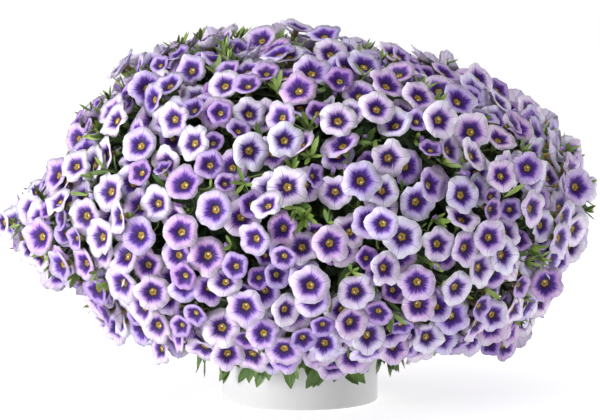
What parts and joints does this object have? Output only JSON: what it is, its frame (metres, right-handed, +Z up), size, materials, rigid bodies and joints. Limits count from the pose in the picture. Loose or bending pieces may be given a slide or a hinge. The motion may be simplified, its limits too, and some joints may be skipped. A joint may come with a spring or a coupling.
{
  "type": "potted calibrachoa",
  "caption": "Bushy calibrachoa in full bloom, a broad mound of small lilac trumpet flowers with violet eyes over narrow leaves, in a plain white cylinder pot",
  "frame": {"origin": "middle of the pot's underside, on the surface that the pot stands on", "axes": "+Z up along the pot's axis, -Y towards the front of the plant, +X to the right seen from the front"},
  "size_m": [0.494, 0.4526, 0.3227],
  "materials": {
    "white_glaze": "smooth satin white glaze",
    "moist_compost": "loose moist peat crumb",
    "bloom_and_leaf": "soft matt petals and leaves"
  },
  "bodies": {
    "root": {"pot": "white_glaze", "compost": "moist_compost", "leafy_stem_01": "bloom_and_leaf", "leafy_stem_02": "bloom_and_leaf", "leafy_stem_03": "bloom_and_leaf", "leafy_stem_04": "bloom_and_leaf", "leafy_stem_05": "bloom_and_leaf", "leafy_stem_06": "bloom_and_leaf", "leafy_stem_07": "bloom_and_leaf", "leafy_stem_08": "bloom_and_leaf", "leafy_stem_09": "bloom_and_leaf", "leafy_stem_10": "bloom_and_leaf", "leafy_stem_11": "bloom_and_leaf", "leafy_stem_12": "bloom_and_leaf", "leafy_stem_13": "bloom_and_leaf", "leafy_stem_14": "bloom_and_leaf", "leafy_stem_15": "bloom_and_leaf", "leafy_stem_16": "bloom_and_leaf", "leafy_stem_17": "bloom_and_leaf", "leafy_stem_18": "bloom_and_leaf", "leafy_stem_19": "bloom_and_leaf", "leafy_stem_20": "bloom_and_leaf", "leafy_stem_21": "bloom_and_leaf", "leafy_stem_22": "bloom_and_leaf", "leafy_stem_23": "bloom_and_leaf", "leafy_stem_24": "bloom_and_leaf", "leafy_stem_25": "bloom_and_leaf", "leafy_stem_26": "bloom_and_leaf", "leafy_stem_27": "bloom_and_leaf", "leafy_stem_28": "bloom_and_leaf", "leafy_stem_29": "bloom_and_leaf", "leafy_stem_30": "bloom_and_leaf", "leafy_stem_31": "bloom_and_leaf", "leafy_stem_32": "bloom_and_leaf", "leafy_stem_33": "bloom_and_leaf", "leafy_stem_34": "bloom_and_leaf", "leafy_stem_35": "bloom_and_leaf", "leafy_stem_36": "bloom_and_leaf", "leafy_stem_37": "bloom_and_leaf", "leafy_stem_38": "bloom_and_leaf"}
  },
  "joints": []
}
